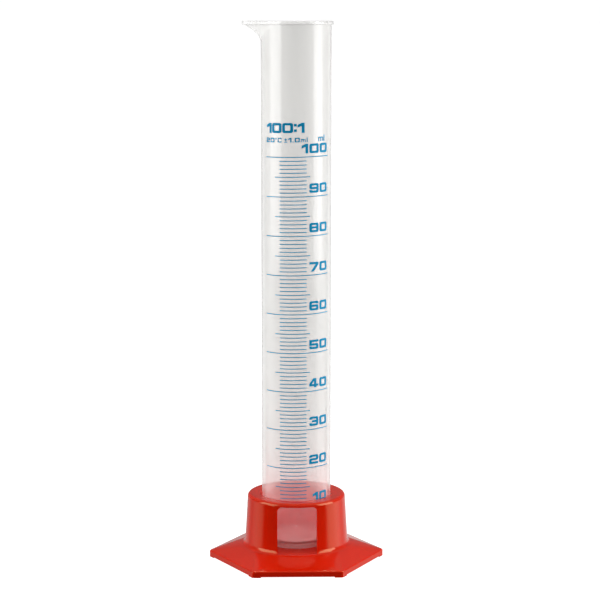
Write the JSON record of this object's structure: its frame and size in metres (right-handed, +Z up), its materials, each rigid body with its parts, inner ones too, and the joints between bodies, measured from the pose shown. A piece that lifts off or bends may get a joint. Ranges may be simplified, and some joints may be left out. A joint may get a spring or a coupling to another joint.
{
  "type": "graduated cylinder",
  "caption": "Tall translucent plastic measuring cylinder with a beaded lip, pouring spout and printed scale, standing in a red hexagonal foot with a window.",
  "frame": {"origin": "centre of the foot's underside, on the table, under the tube's axis", "axes": "+Z up along the tube's axis to the rim, -Y the front with the scale and the foot's window, -X the side the spout points to"},
  "size_m": [0.0774, 0.0674, 0.2367],
  "materials": {
    "tube": "translucent natural polypropylene, smooth",
    "ink": "printed blue ink",
    "foot": "glossy red polypropylene moulding"
  },
  "bodies": {
    "root": {"tube": "tube", "scale_marks": "ink", "foot": "foot"}
  },
  "joints": []
}
